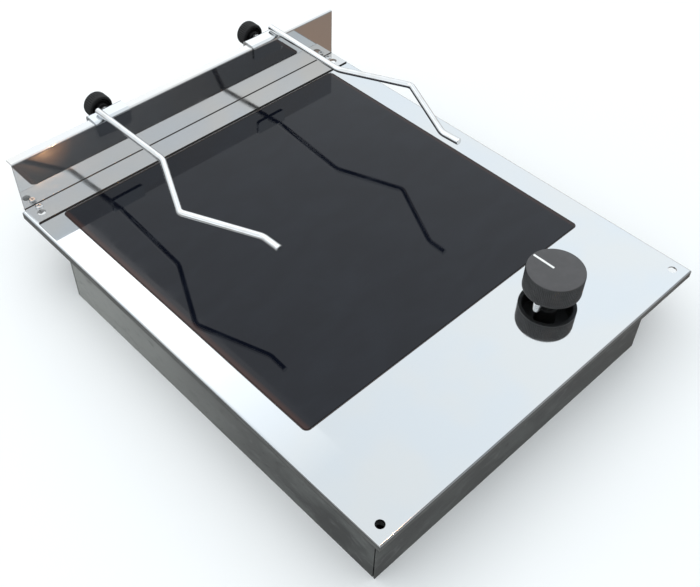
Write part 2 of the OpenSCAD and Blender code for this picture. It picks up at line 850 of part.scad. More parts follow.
// Straight part of a leg that reaches `drop` below the underside of the bracket's top
module leg(x, y, drop) {
    r = 3;
    low = clamp_under - drop;
    top = clamp_top - clamp_bend_r + e;
    translate([x, y, 0]) rotate([90, 0, 0]) linear_extrude(clamp_t) {
        translate([-clamp_w / 2, low + r]) square([clamp_w, top - low - r]);
        translate([-clamp_w / 2 + r, low]) square([clamp_w - 2 * r, r + e]);
        for (s = [-1, 1]) translate([s * (clamp_w / 2 - r), low + r]) circle(r);
    }
}

module left_clamp() {
    color("#dfe2e4") place() clamp(left_clamp_x, left_screw_x);
}

module right_clamp() {
    color("#dfe2e4") place() clamp(right_clamp_x, right_clamp_x);
}

// Bent rod from its weld at (x0, y0); drift is how far from x0 each bend and the end lie sideways
module holder_rod(x0, y0, drift, rise) {
    r = rod_d / 2;
    xs = [x0, x0 + drift[0], x0 + drift[1], x0 + drift[2], x0 + drift[3]];
    ys = [y0, rod_bend_y[0], rod_bend_y[1], rod_bend_y[2], rod_end_y];
    weld_z = clamp_top + r - 0.15;
    bent_bar([for (i = [0 : 4]) [xs[i], ys[i], weld_z + (y0 - ys[i]) * tan(rise)]], rod_bends, r, 20);
}

module left_rod() {
    color("#e6e8ea") place() holder_rod(left_clamp_x - 7.5, 423, [-2.3, -32, -6.5, -6.8], left_rise);
}

module right_rod() {
    color("#e6e8ea") place() holder_rod(right_clamp_x + 13.9, 425, [-4.6, 22.8, -8.8, -8.4], right_rise);
}

module weld_nut(x) {
    translate([x, clamp_back_y + clamp_t, screw_z]) rotate([-90, 0, 0]) difference() {
        cylinder(d = 8, h = nut_len);
        translate([0, 0, -1]) cylinder(r = screw_r + 0.05, h = nut_len + 2);
    }
}

module left_weld_nut() {
    color("#c9cdd0") place() weld_nut(left_screw_x);
}

module right_weld_nut() {
    color("#c9cdd0") place() weld_nut(right_clamp_x);
}

module thumb_screw(x) {
    tip_y = rail_y + rail_t + air;
    translate([x, tip_y, screw_z]) rotate([-90, 0, 0]) {
        cylinder(r1 = screw_r - 0.5, r2 = screw_r, h = 0.6);
        translate([0, 0, 0.6 - e]) cylinder(r = screw_r, h = thumb_back - 3 - tip_y - 0.6);
    }
}

module left_thumb_screw() {
    color("#d0d3d5") place() thumb_screw(left_screw_x);
}

module right_thumb_screw() {
    color("#d0d3d5") place() thumb_screw(right_clamp_x);
}

// Knob with a raised hub, a recessed ring and a rounded rim, turned about the screw
module thumb_knob(x) {
    r = thumb_d / 2;
    edge = 1.5;
    h0 = thumb_face - thumb_front;
    full = thumb_back - thumb_front;
    translate([x, thumb_front, screw_z]) rotate([-90, 0, 0]) rotate_extrude($fn = 72) difference() {
        union() {
            square_ring(0, r, h0 + edge, full - edge);
            square_ring(0, r - edge, h0, full);
            translate([r - edge, h0 + edge]) circle(edge);
            translate([r - edge, full - edge]) circle(edge);
            square_ring(0, 5, 0, h0 + e);
        }
        square_ring(5.6, r - 2.6, h0 - 1, h0 + 3);
        square_ring(-1, screw_r, -1, full - 3);
    }
}

module left_thumb_knob() {
    color("#1b1b1d") place() thumb_knob(left_screw_x);
}

module right_thumb_knob() {
    color("#1b1b1d") place() thumb_knob(right_clamp_x);
}

top_plate();
ceramic_glass();
glass_seal();
glass_gasket();
glass_frame();
pan_rail();
rail_screws();
rail_nuts();
box_shell();
rear_panel();
left_side_panel();
right_side_panel();
weld_studs();
stud_nuts();
hanger_straps();
strap_spacers();
strap_rivets();
heater_dish();
heater_base();
heater_ring();
heater_ribbon();
heater_springs();
limiter_rod();
limiter_head();
regulator_plate();
regulator_body();
regulator_tabs();
shaft_bushing();
shaft_washer();
control_screws();
terminal_block();
terminal_screws();
earth_stud();
earth_nuts();
cable_gland();
gland_nut();
live_wire();
neutral_wire();
link_wire();
earth_wire();
control_shaft();
control_knob();
knob_pointer();
knob_set_screw();
left_clamp();
left_rod();
left_weld_nut();
left_thumb_screw();
left_thumb_knob();
right_clamp();
right_rod();
right_weld_nut();
right_thumb_screw();
right_thumb_knob();
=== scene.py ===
"""Looks of a drop-in ceramic hob with a rear rail and two pan holders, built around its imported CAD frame.

Everything is in metres in the CAD's frame: +X to the user's right, +Y to the back, +Z up. CAD nodes whose
shape is right keep it and get a material. Pieces that need finer shapes (knurled knobs, smoothly bent rods,
edges with a small round) are built here, and each of them replaces its CAD node.
"""

import json
import math

import bmesh
import bpy
from mathutils import Matrix, Vector


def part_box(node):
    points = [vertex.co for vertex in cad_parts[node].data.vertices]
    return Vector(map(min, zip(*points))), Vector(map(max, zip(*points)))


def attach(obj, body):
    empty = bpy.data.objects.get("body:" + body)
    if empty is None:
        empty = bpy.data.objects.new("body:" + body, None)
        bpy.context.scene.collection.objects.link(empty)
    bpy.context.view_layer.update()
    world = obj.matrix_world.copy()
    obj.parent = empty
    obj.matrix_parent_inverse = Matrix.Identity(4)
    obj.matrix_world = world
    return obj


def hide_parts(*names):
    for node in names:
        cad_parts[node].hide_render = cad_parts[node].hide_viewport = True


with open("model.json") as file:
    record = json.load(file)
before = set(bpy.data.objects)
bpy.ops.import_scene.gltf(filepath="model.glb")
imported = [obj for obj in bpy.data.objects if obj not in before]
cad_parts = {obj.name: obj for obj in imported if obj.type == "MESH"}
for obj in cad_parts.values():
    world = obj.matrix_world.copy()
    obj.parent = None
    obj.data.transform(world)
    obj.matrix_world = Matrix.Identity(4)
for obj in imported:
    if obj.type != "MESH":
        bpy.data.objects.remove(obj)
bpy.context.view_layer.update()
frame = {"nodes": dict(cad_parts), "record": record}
MM = 0.001
NODES = frame["nodes"]
BODY_OF = {n: body for body, names in frame["record"]["behaviour"]["bodies"].items() for n in names}
SLOT_OF = {s["node"]: s["material_slot"] for s in frame["record"]["subparts"]}
SHARP = math.radians(35)

PLATE_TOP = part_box("top_plate")[1].z
PLATE_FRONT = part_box("top_plate")[0].y
RAIL_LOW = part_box("pan_rail")[0]
RAIL_FACE = PLATE_FRONT + 414.2 * MM
RAIL_FOOT_TOP = PLATE_TOP + 1.2 * MM


# ---- Camera ---------------------------------------------------------------------------

CAMERA_AT = Vector((-0.3950, -0.4076, 0.5838))
CAMERA_TURN = math.radians(45.27)  # from +Y towards +X
CAMERA_DIP = math.radians(46.92)
CAMERA_ROLL = math.radians(1.81)
CAMERA_LENS = 49.1


def make_camera():
    look = Vector((math.sin(CAMERA_TURN) * math.cos(CAMERA_DIP),
                   math.cos(CAMERA_TURN) * math.cos(CAMERA_DIP),
                   -math.sin(CAMERA_DIP)))
    level = look.cross(Vector((0, 0, 1))).normalized()
    right = Matrix.Rotation(-CAMERA_ROLL, 3, look) @ level
    up = right.cross(look)
    data = bpy.data.cameras.new("camera")
    data.lens = CAMERA_LENS
    data.sensor_width = 36
    data.clip_start = 0.01
    camera = bpy.data.objects.new("camera", data)
    turn = Matrix((right, up, -look)).transposed()
    camera.matrix_world = Matrix.Translation(CAMERA_AT) @ turn.to_4x4()
    bpy.context.scene.collection.objects.link(camera)
    bpy.context.scene.camera = camera


# ---- Nodes ----------------------------------------------------------------------------

def map_range(tree, value, low, high, to_low=0.0, to_high=1.0, smooth=True):
    """The value's range from low to high laid on to_low to to_high, and held at its ends."""
    node = tree.nodes.new("ShaderNodeMapRange")
    node.interpolation_type = "SMOOTHSTEP" if smooth else "LINEAR"
    for i, v in enumerate((low, high, to_low, to_high)):
        node.inputs[i + 1].default_value = v
    tree.links.new(value, node.inputs[0])
    return node.outputs[0]


def math_node(tree, kind, a, b):
    """One sum on two values; each is a number or a socket."""
    node = tree.nodes.new("ShaderNodeMath")
    node.operation = kind
    for i, v in enumerate((a, b)):
        if isinstance(v, (int, float)):
            node.inputs[i].default_value = v
        else:
            tree.links.new(v, node.inputs[i])
    return node.outputs[0]


def split(tree, vector):
    """The X, Y and Z of a vector socket."""
    node = tree.nodes.new("ShaderNodeSeparateXYZ")
    tree.links.new(vector, node.inputs[0])
    return node.outputs


def distance_from(tree, place, point):
    node = tree.nodes.new("ShaderNodeVectorMath")
    node.operation = "DISTANCE"
    tree.links.new(place, node.inputs[0])
    node.inputs[1].default_value = point
    return node.outputs["Value"]


# ---- Materials ------------------------------------------------------------------------

class Finish:
    """A Principled material with short calls for its procedural parts. Lengths are in millimetres."""

    def __init__(self, name, color, rough, metallic=0.0, **sockets):
        self.material = bpy.data.materials.new(name)
        self.material.use_nodes = True
        self.tree = self.material.node_tree
        self.shader = self.tree.nodes["Principled BSDF"]
        self.shader.inputs["Base Color"].default_value = (*color, 1)
        self.shader.inputs["Roughness"].default_value = rough
        self.shader.inputs["Metallic"].default_value = metallic
        for key, value in sockets.items():
            self.shader.inputs[key.replace("_", " ")].default_value = value
        self.place = self.tree.nodes.new("ShaderNodeTexCoord").outputs["Object"]

    def stretched(self, stretch, turn=(0, 0, 0)):
        node = self.tree.nodes.new("ShaderNodeMapping")
        node.inputs["Scale"].default_value = [1 / (s * MM) for s in stretch]
        node.inputs["Rotation"].default_value = [math.radians(a) for a in turn]
        self.tree.links.new(self.place, node.inputs["Vector"])
        return node.outputs["Vector"]

    def noise(self, size, detail=2.0, stretch=(1, 1, 1), turn=(0, 0, 0), distortion=0.0):
        """Noise whose blobs are about `size` mm across, drawn out by `stretch`."""
        node = self.tree.nodes.new("ShaderNodeTexNoise")
        node.inputs["Scale"].default_value = 1
        node.inputs["Detail"].default_value = detail
        node.inputs["Distortion"].default_value = distortion
        self.tree.links.new(self.stretched([size * s for s in stretch], turn), node.inputs["Vector"])
        return node.outputs["Fac"]

    def cells(self, size, stretch=(1, 1, 1)):
        """Distance to the nearest of scattered points, about `size` mm apart."""
        node = self.tree.nodes.new("ShaderNodeTexVoronoi")
        node.inputs["Scale"].default_value = 1
        self.tree.links.new(self.stretched([size * s for s in stretch]), node.inputs["Vector"])
        return node.outputs["Distance"]

    def axis(self, name):
        """X, Y or Z of the place on the object, in metres."""
        return split(self.tree, self.place)[name]

    def upward(self):
        """How far the surface faces up, from -1 to 1."""
        return split(self.tree, self.tree.nodes.new("ShaderNodeNewGeometry").outputs["Normal"])["Z"]

    def remap(self, value, low, high, to_low, to_high):
        return map_range(self.tree, value, low, high, to_low, to_high)

    def math(self, kind, a, b):
        return math_node(self.tree, kind, a, b)

    def fed(self, socket):
        """What already feeds one of the shader's sockets."""
        return self.shader.inputs[socket].links[0].from_socket

    def mixed(self, factor, first, second):
        """Colour between two colours; each is a tuple or a colour socket."""
        node = self.tree.nodes.new("ShaderNodeMix")
        node.data_type = "RGBA"
        self.tree.links.new(factor, node.inputs["Factor"])
        for slot, value in ((6, first), (7, second)):
            if isinstance(value, tuple):
                node.inputs[slot].default_value = (*value, 1)
            else:
                self.tree.links.new(value, node.inputs[slot])
        return node.outputs[2]

    def feed(self, socket, value):
        self.tree.links.new(value, self.shader.inputs[socket])
        return self

    def bump(self, height, depth):
        """Relief `depth` mm deep, laid over any relief that is already there."""
        node = self.tree.nodes.new("ShaderNodeBump")
        node.inputs["Strength"].default_value = 1
        node.inputs["Distance"].default_value = depth * MM
        self.tree.links.new(height, node.inputs["Height"])
        before = self.shader.inputs["Normal"].links
        if before:
            self.tree.links.new(before[0].from_socket, node.inputs["Normal"])
        self.tree.links.new(node.outputs["Normal"], self.shader.inputs["Normal"])
        return self


STEEL = (0.66, 0.68, 0.70)
RAIL_STEEL = (0.67, 0.665, 0.665)
# Colour of the plate's rim: painted shade
RIM_PAINTED_SHADE = (0.080, 0.082, 0.078)
# Heights on the plate's rim: where the polish ends, and the painted shadow lines under the bend and at the cut
# edge
RIM_FROM = PLATE_TOP - 1.3 * MM
RIM_LINE = PLATE_TOP - 2.4 * MM
RIM_CUT = PLATE_TOP - 6.3 * MM
RIM_FADE = 1.0 * MM


def tinted(color, *gains):
    """The colour with each part multiplied by its own gain, or all by one."""
    return tuple(c * k for c, k in zip(color, gains if len(gains) == 3 else gains * 3))


def smudged_steel(name, color=STEEL, rough=0.035):
    """Mirror-polished stainless steel: faint wiping smears, hairline scratches and a little ripple."""
    f = Finish(name, color, rough, metallic=1.0)
    smear = f.noise(38, 3, stretch=(1, 0.45, 1), turn=(0, 0, 31), distortion=0.8)
    hairs = f.noise(0.5, 2, stretch=(60, 0.6, 1), turn=(0, 0, 12))
    cross = f.noise(0.5, 2, stretch=(0.6, 45, 1), turn=(0, 0, -27))
    scratch = f.math("MAXIMUM", f.remap(hairs, 0.66, 0.78, 0, 1), f.remap(cross, 0.68, 0.80, 0, 1))
    base = f.remap(smear, 0.42, 0.72, rough, rough + 0.05)
    f.feed("Roughness", f.math("ADD", base, f.math("MULTIPLY", scratch, 0.06)))
    tone = f.noise(60, 2)
    cool = tinted(color, 0.965, 0.985, 1.0)
    warm = tinted(color, 1.0, 0.99, 0.97)
    f.feed("Base Color", f.mixed(f.remap(tone, 0.35, 0.65, 0, 1), cool, warm))
    f.bump(f.noise(26, 1), 0.004)
    return f


def plate_steel():
    """The top plate's steel; its turned-down rim is made dull and painted dark as painted shade, with random
    streaks, and with darker painted shadow lines under the bend and along its lower edge.
    """
    f = smudged_steel("plate_steel")
    height = f.axis("Z")
    # Below RIM_FROM the rim is made dull and gets painted shade: dark steel with random streaks, and darker
    # painted shadow lines under the bend and at the cut edge
    on_rim = f.remap(height, RIM_FROM - RIM_FADE, RIM_FROM, 1, 0)
    painted_bend_shadow = f.remap(height, RIM_LINE - RIM_FADE, RIM_LINE, 0, 0.85)
    painted_lower_edge_shade = f.remap(height, RIM_CUT - RIM_FADE, RIM_CUT, 0.8, 0)
    streak = f.noise(5, 3, stretch=(5, 5, 0.6))
    painted_rim_shade = f.mixed(f.remap(streak, 0.35, 0.7, 0, 1), RIM_PAINTED_SHADE, tinted(RIM_PAINTED_SHADE, 1.6))
    painted_rim_shade = f.mixed(painted_bend_shadow, painted_rim_shade, (0.012, 0.012, 0.012))
    painted_rim_shade = f.mixed(painted_lower_edge_shade, painted_rim_shade, (0.02, 0.02, 0.02))
    f.feed("Base Color", f.mixed(on_rim, f.fed("Base Color"), painted_rim_shade))
    f.feed("Metallic", f.math("SUBTRACT", 1.0, f.math("MULTIPLY", on_rim, 0.8)))
    f.feed("Roughness", f.math("MAXIMUM", f.math("MULTIPLY", on_rim, 0.45), f.fed("Roughness")))
    return f


def rail_steel():
    """The rail's steel: a painted shade line along the front edge of its foot, painted shade in its crease, and
    a left end made a little less metallic.
    """
    f = smudged_steel("rail_steel", RAIL_STEEL, rough=0.03)
    depth = f.axis("Y")
    # Masks for painted shade: the foot's front edge, and the crease where the rail's face meets its foot
    painted_foot_edge_shade = f.remap(depth, RAIL_LOW.y + 0.16 * MM, RAIL_LOW.y + 0.4 * MM, 1, 0)
    at_face = f.remap(depth, RAIL_FACE - 0.9 * MM, RAIL_FACE - 0.3 * MM, 0, 1)
    at_foot = f.remap(f.axis("Z"), RAIL_FOOT_TOP + 0.4 * MM, RAIL_FOOT_TOP + 1.1 * MM, 1, 0)
    # dark: the painted shade of both
    dark = f.math("MAXIMUM", painted_foot_edge_shade, f.math("MULTIPLY", at_face, at_foot))
    f.feed("Base Color", f.mixed(dark, f.fed("Base Color"), (0.035, 0.032, 0.03)))
    f.feed("Roughness", f.math("MAXIMUM", f.math("MULTIPLY", dark, 0.4), f.fed("Roughness")))
    # Less metallic towards the left end, so a faint diffuse haze lightens the rail there and its image in the
    # glass
    f.feed("Metallic", f.remap(f.axis("X"), RAIL_LOW.x, RAIL_LOW.x + 300 * MM, 0.88, 1.0))
    return f


def black_glass():
    """Opaque glass-ceramic: blue-black, with a painted warm reflection as brown bands at its side edges, under
    a slightly rippled, smeared gloss.
    """
    f = Finish("black_glass", (0.006, 0.0065, 0.0085), 0.03, IOR=1.38)
    haze = f.noise(45, 3, stretch=(1, 0.5, 1), turn=(0, 0, -22), distortion=0.6)
    speck = f.cells(2.4)
    f.feed("Roughness", f.remap(haze, 0.4, 0.75, 0.03, 0.075))
    body = f.mixed(f.remap(haze, 0.3, 0.8, 0, 1), (0.0030, 0.0040, 0.0085), (0.0060, 0.0078, 0.0135))
    body = f.mixed(f.remap(speck, 0.03, 0.10, 1, 0), body, (0.014, 0.0145, 0.017))
    low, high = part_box("ceramic_glass")
    # Painted reflection: brown bands along the left and right edges
    across = f.axis("X")
    left = f.remap(across, low.x + 1.5 * MM, low.x + 5.5 * MM, 1, 0)
    right = f.remap(across, high.x - 4 * MM, high.x - 1 * MM, 0, 0.6)
    f.feed("Base Color", f.mixed(f.math("MAXIMUM", left, right), body, (0.040, 0.017, 0.014)))
    f.bump(f.noise(30, 1), 0.004)
    return f


def galvanised():
    """Dark, blotchy galvanised sheet with faint streaks, rub marks and specks, and painted light that makes it
    lighter towards the rear.
    """
    f = Finish("galvanised", (0.10, 0.10, 0.10), 0.5, metallic=0.15)
    cloud = f.noise(34, 4, stretch=(1.5, 1.5, 0.8), distortion=0.7)
    streak = f.noise(11, 3, stretch=(2.0, 2.0, 0.7), turn=(14, 20, 0), distortion=1.6)
    rub = f.noise(3.5, 2, stretch=(2.2, 2.2, 0.6), turn=(28, -24, 0), distortion=1.0)
    speck = f.cells(9)
    tone = f.mixed(f.remap(cloud, 0.32, 0.68, 0, 1), (0.036, 0.039, 0.039), (0.100, 0.105, 0.101))
    # Painted light: lighter towards the rear
    tone = f.mixed(f.remap(f.axis("Y"), -190 * MM, 160 * MM, 0, 0.9), tone, (0.31, 0.315, 0.30))
    tone = f.mixed(f.remap(streak, 0.52, 0.80, 0, 0.45), tone, (0.17, 0.175, 0.17))
    tone = f.mixed(f.remap(streak, 0.22, 0.44, 0.5, 0), tone, (0.035, 0.038, 0.038))
    tone = f.mixed(f.remap(rub, 0.66, 0.82, 0, 0.35), tone, (0.24, 0.245, 0.24))
    tone = f.mixed(f.remap(speck, 0.04, 0.1, 0.75, 0), tone, (0.03, 0.03, 0.03))
    f.feed("Base Color", tone)
    f.feed("Roughness", f.remap(cloud, 0.3, 0.7, 0.40, 0.62))
    f.bump(f.noise(1.2, 2), 0.02).bump(cloud, 0.25)
    return f


def moulded(name, color, rough, grain=0.35, depth=0.012, light=1.35, specular=0.5):
    """Moulded plastic with a fine spark-eroded grain and slightly uneven colour."""
    f = Finish(name, color, rough, Specular_IOR_Level=specular)
    wear = f.noise(7, 3)
    f.feed("Base Color", f.mixed(f.remap(wear, 0.35, 0.7, 0, 1), color, tinted(color, light)))
    f.feed("Roughness", f.remap(wear, 0.3, 0.7, rough - 0.05, rough + 0.07))
    f.bump(f.noise(grain, 2), depth)
    return f


def knob_phenolic():
    """Charcoal phenolic: a finely grained face, and a knurled side painted darker as painted shade."""
    f = moulded("knob_plastic", (0.060, 0.058, 0.060), 0.50, grain=0.5, depth=0.02, light=1.25)
    # Painted shade: faces that turn away from the top are darker
    painted_side_shade = f.remap(f.upward(), 0.45, 0.85, 1, 0)
    f.feed("Base Color", f.mixed(painted_side_shade, f.fed("Base Color"), (0.028, 0.028, 0.029)))
    return f


def drawn_bar(name):
    """Bright drawn bar: lines along the bar and a few handling marks."""
    f = Finish(name, (0.76, 0.77, 0.78), 0.08, metallic=1.0)
    lines = f.noise(0.3, 2, stretch=(1, 60, 1))
    marks = f.noise(9, 2)
    f.feed("Roughness", f.math("ADD", f.remap(lines, 0.3, 0.7, 0.025, 0.05),
                               f.remap(marks, 0.55, 0.8, 0, 0.04)))
    f.feed("Base Color", f.mixed(f.remap(marks, 0.4, 0.8, 0, 1), (0.77, 0.78, 0.79), (0.70, 0.695, 0.68)))
    f.bump(lines, 0.0015)
    return f


def plain_metal(name, color, rough, spread=0.1, size=4.0):
    """Plated or mill-finish metal with uneven tone and a fine tooth."""
    f = Finish(name, color, rough, metallic=1.0)
    tone = f.noise(size, 3, distortion=0.4)
    dark = tinted(color, 1 - 2.5 * spread)
    f.feed("Base Color", f.mixed(f.remap(tone, 0.35, 0.65, 0, 1), dark, color))
    f.feed("Roughness", f.remap(tone, 0.3, 0.7, rough + spread, rough - spread / 2))
    f.bump(f.noise(0.6, 2), 0.006)
    return f


def fibrous(name, color, size, depth, rough=0.9):
    """Pressed insulation, fibre tape or unglazed ceramic."""
    f = Finish(name, color, rough)
    fibre = f.noise(size, 4, distortion=1.5)
    f.feed("Base Color", f.mixed(f.remap(fibre, 0.3, 0.7, 0, 1), tinted(color, 0.8), color))
    f.bump(fibre, depth)
    return f


def sleeve(name, color):
    """Silicone wire insulation, dusty in places."""
    f = Finish(name, color, 0.5, Specular_IOR_Level=0.4)
    dust = f.noise(6, 3)
    f.feed("Base Color", f.mixed(f.remap(dust, 0.45, 0.8, 0, 0.5), color, (0.4, 0.4, 0.38)))
    f.feed("Roughness", f.remap(dust, 0.4, 0.7, 0.42, 0.62))
    f.bump(f.noise(0.8, 2), 0.01)
    return f


MATERIALS = {
    "polished_steel": smudged_steel("polished_steel"),
    "black_glass": black_glass(),
    "seal_silicone": moulded("seal_silicone", (0.030, 0.021, 0.018), 0.55, grain=1.5, depth=0.03),
    "gasket_fibre": fibrous("gasket_fibre", (0.55, 0.54, 0.50), 1.0, 0.1),
    "galvanised_steel": galvanised(),
    "plain_steel": plain_metal("plain_steel", (0.52, 0.53, 0.54), 0.35, size=9),
    "zinc_fasteners": plain_metal("zinc_fasteners", (0.72, 0.73, 0.74), 0.22, spread=0.06, size=2),
    "brass": plain_metal("brass", (0.72, 0.55, 0.25), 0.28, size=3),
    "insulation": fibrous("insulation", (0.86, 0.83, 0.76), 2.5, 0.3),
    "heating_alloy": plain_metal("heating_alloy", (0.33, 0.24, 0.19), 0.5, size=2),
    "ceramic_parts": fibrous("ceramic_parts", (0.84, 0.82, 0.75), 1.2, 0.03, rough=0.6),
    "dark_plastic": moulded("dark_plastic", (0.045, 0.045, 0.05), 0.45),
    "knob_plastic": knob_phenolic(),
    "pointer_white": moulded("pointer_white", (0.88, 0.88, 0.86), 0.35, depth=0.004, light=1.08),
    "thumb_plastic": moulded("thumb_plastic", (0.006, 0.006, 0.0065), 0.42, grain=0.5, depth=0.02,
                             specular=0.25),
    "wire_brown": sleeve("wire_brown", (0.25, 0.12, 0.06)),
    "wire_blue": sleeve("wire_blue", (0.08, 0.17, 0.42)),
    "wire_black": sleeve("wire_black", (0.02, 0.02, 0.02)),
    "wire_green": sleeve("wire_green", (0.22, 0.36, 0.10)),
}
ROD_STEEL = drawn_bar("rod_steel")
# Finishes of single nodes, where the slot's own isn't close enough
SPECIAL = {
    "top_plate": plate_steel(),
    "left_rod": ROD_STEEL,
    "right_rod": ROD_STEEL,
    "pan_rail": rail_steel(),
}


def finish_of(node):
    return (SPECIAL.get(node) or MATERIALS[SLOT_OF[node]]).material


def dress_cad_nodes():
    for name, obj in NODES.items():
        obj.data.materials.clear()
        obj.data.materials.append(finish_of(name))


# ---- Shape helpers --------------------------------------------------------------------

STEPS_PER_RIB = 6
RIB_FULLNESS = 0.8


def new_piece(name, mesh, node):
    """A piece that stands for a CAD node: same body, same slot, same finish."""
    obj = bpy.data.objects.new(name, mesh)
    bpy.context.scene.collection.objects.link(obj)
    if not mesh.materials:
        mesh.materials.append(finish_of(node))
    smooth(mesh)
    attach(obj, BODY_OF[node])
    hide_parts(node)
    return obj


def smooth(mesh):
    mesh.polygons.foreach_set("use_smooth", [True] * len(mesh.polygons))
    mesh.set_sharp_from_angle(angle=SHARP)


def mesh_from(name, verts, faces):
    mesh = bpy.data.meshes.new(name)
    mesh.from_pydata([tuple(v) for v in verts], [], faces)
    bm = bmesh.new()
    bm.from_mesh(mesh)
    bmesh.ops.remove_doubles(bm, verts=bm.verts, dist=1e-7)
    bmesh.ops.recalc_face_normals(bm, faces=bm.faces)
    bm.to_mesh(mesh)
    bm.free()
    return mesh


# Width of the rounding on nodes whose sharp edges catch the light, in mm
SOFT_EDGES = {
    "left_clamp": 0.15, "right_clamp": 0.15, "control_screws": 0.25,
    "left_weld_nut": 0.3, "right_weld_nut": 0.3, "pan_rail": 0.15,
}


def softened(node):
    """A piece with the CAD node's own shape, and every sharp edge rounded."""
    mesh = NODES[node].data.copy()
    mesh.name = "soft_" + node
    bm = bmesh.new()
    bm.from_mesh(mesh)
    bmesh.ops.remove_doubles(bm, verts=bm.verts, dist=2e-6)
    bmesh.ops.dissolve_limit(bm, angle_limit=math.radians(0.6), verts=bm.verts, edges=bm.edges)
    edges = [e for e in bm.edges if len(e.link_faces) == 2 and e.calc_face_angle(0) > SHARP]
    bmesh.ops.bevel(bm, geom=edges, offset=SOFT_EDGES[node] * MM, offset_type="OFFSET", segments=2,
                    profile=0.5, affect="EDGES", clamp_overlap=True)
    bmesh.ops.triangulate(bm, faces=[f for f in bm.faces if len(f.verts) > 4])
    bm.to_mesh(mesh)
    bm.free()
    obj = new_piece("soft_" + node, mesh, node)
    flatten = obj.modifiers.new("flat_faces_lead", "WEIGHTED_NORMAL")
    flatten.keep_sharp = True
    flatten.weight = 100


def lathe(profile, rib_count, rib_depth):
    """Vertices and faces of a closed profile of (radius, height, ribbed) turned about Z.

    A point moves inwards between the ribs by its `ribbed` share of their depth.
    """
    steps = rib_count * STEPS_PER_RIB
    verts, faces = [], []
    for i in range(steps):
        a = 2 * math.pi * i / steps
        rib = -rib_depth * (1 - (0.5 + 0.5 * math.cos(a * rib_count)) ** RIB_FULLNESS)
        for r, z, ribbed in profile:
            out = r + rib * ribbed
            verts.append(Vector((out * math.cos(a), out * math.sin(a), z)))
    n = len(profile)
    for i in range(steps):
        j = (i + 1) % steps
        for k in range(n):
            m = (k + 1) % n
            faces.append((i * n + k, j * n + k, j * n + m, i * n + m))
    return verts, faces


def arc(center, radius, start, end, steps):
    """Profile points along an arc in the (radius, height) plane, angles in degrees."""
    points = []
    for i in range(steps + 1):
        a = math.radians(start + (end - start) * i / steps)
        points.append((center[0] + radius * math.cos(a), center[1] + radius * math.sin(a), 0))
    return points


def ribbed_rows(radius, start, end, rows):
    """Profile points up a straight knurled side, in equal steps."""
    return [(radius, start + (end - start) * i / rows, 1) for i in range(rows + 1)]


def cut(obj, cutter_mesh):
    """Cuts a hole in a piece, and removes the cutter."""
    cutter = bpy.data.objects.new("cutter", cutter_mesh)
    bpy.context.scene.collection.objects.link(cutter)
    modifier = obj.modifiers.new("cut", "BOOLEAN")
    modifier.operation = "DIFFERENCE"
    modifier.solver = "EXACT"
    modifier.object = cutter
    with bpy.context.temp_override(object=obj, active_object=obj, selected_objects=[obj]):
        bpy.ops.object.modifier_apply(modifier=modifier.name)
    bpy.data.objects.remove(cutter)
    smooth(obj.data)


# ---- Control knob ---------------------------------------------------------------------

KNOB_RIBS = 96
KNOB_RIB_DEPTH = 0.42 * MM
KNOB_WALL = 3.0 * MM
KNOB_HUB = 8.0 * MM
KNOB_EDGE = 0.9 * MM
KNOB_FOOT = 1.5 * MM
AXIS_GAP = 0.02 * MM  # a lathe's profile stays this far off its axis


def control_knob():
    """The knob: a hub with a blind bore, a hollow under its top, a plain foot band and a knurled side."""
    low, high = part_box("control_knob")
    shaft_low, shaft_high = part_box("control_shaft")
    at = (low + high) / 2
    r = (high.x - low.x) / 2
    h = high.z - low.z
    bore = (shaft_high.x - shaft_low.x) / 2 + 0.05 * MM
    bore_top = shaft_high.z - low.z
    ceiling = h - KNOB_WALL
    skin = r - 0.35 * MM
    ribbed_from = KNOB_FOOT + 0.35 * MM
    ribbed_to = h - KNOB_EDGE - 0.6 * MM
    inner = r - KNOB_WALL
    # Hub, hollow and inside of the skirt
    profile = [(bore, 0.3 * MM, 0), (bore + 0.3 * MM, 0, 0)]
    profile += [(KNOB_HUB - 0.4 * MM, 0, 0), (KNOB_HUB, 0.4 * MM, 0)]
    profile += [(KNOB_HUB, ceiling - 0.8 * MM, 0), (KNOB_HUB + 0.8 * MM, ceiling, 0)]
    profile += [(inner - 0.8 * MM, ceiling, 0), (inner, ceiling - 0.8 * MM, 0)]
    profile += [(inner, 0.3 * MM, 0), (inner + 0.3 * MM, 0, 0), (r - 0.5 * MM, 0, 0)]
    # Foot band and knurled side
    profile += arc((r - 0.5 * MM, 0.5 * MM), 0.5 * MM, -60, 0, 3)
    profile += [(r, KNOB_FOOT - 0.2 * MM, 0), (r - 0.1 * MM, KNOB_FOOT, 0), (skin, KNOB_FOOT + 0.1 * MM, 0)]
    profile += [(skin, ribbed_from, 0.15)]
    profile += ribbed_rows(r - 0.05 * MM, ribbed_from + 0.25 * MM, ribbed_to - 0.25 * MM, 8)
    profile += [(skin + 0.12 * MM, ribbed_to, 0.15)]
    # Rounded edge, top, and the bore's closed end
    profile += arc((r - 0.25 * MM - KNOB_EDGE, h - KNOB_EDGE), KNOB_EDGE, 8, 90, 6)
    profile += [(r * 0.6, h, 0), (bore, h, 0), (bore * 0.4, h, 0)]
    profile += [(AXIS_GAP, h, 0), (AXIS_GAP, bore_top + 0.2 * MM, 0), (bore, bore_top + 0.2 * MM, 0)]
    verts, faces = lathe(profile, KNOB_RIBS, KNOB_RIB_DEPTH)
    shift = Vector((at.x, at.y, low.z))
    mesh = mesh_from("knurled_control_knob", [v + shift for v in verts], faces)
    obj = new_piece("knurled_control_knob", mesh, "control_knob")
    cut(obj, grub_screw_way(at, r))
    cut(obj, pointer_slot())


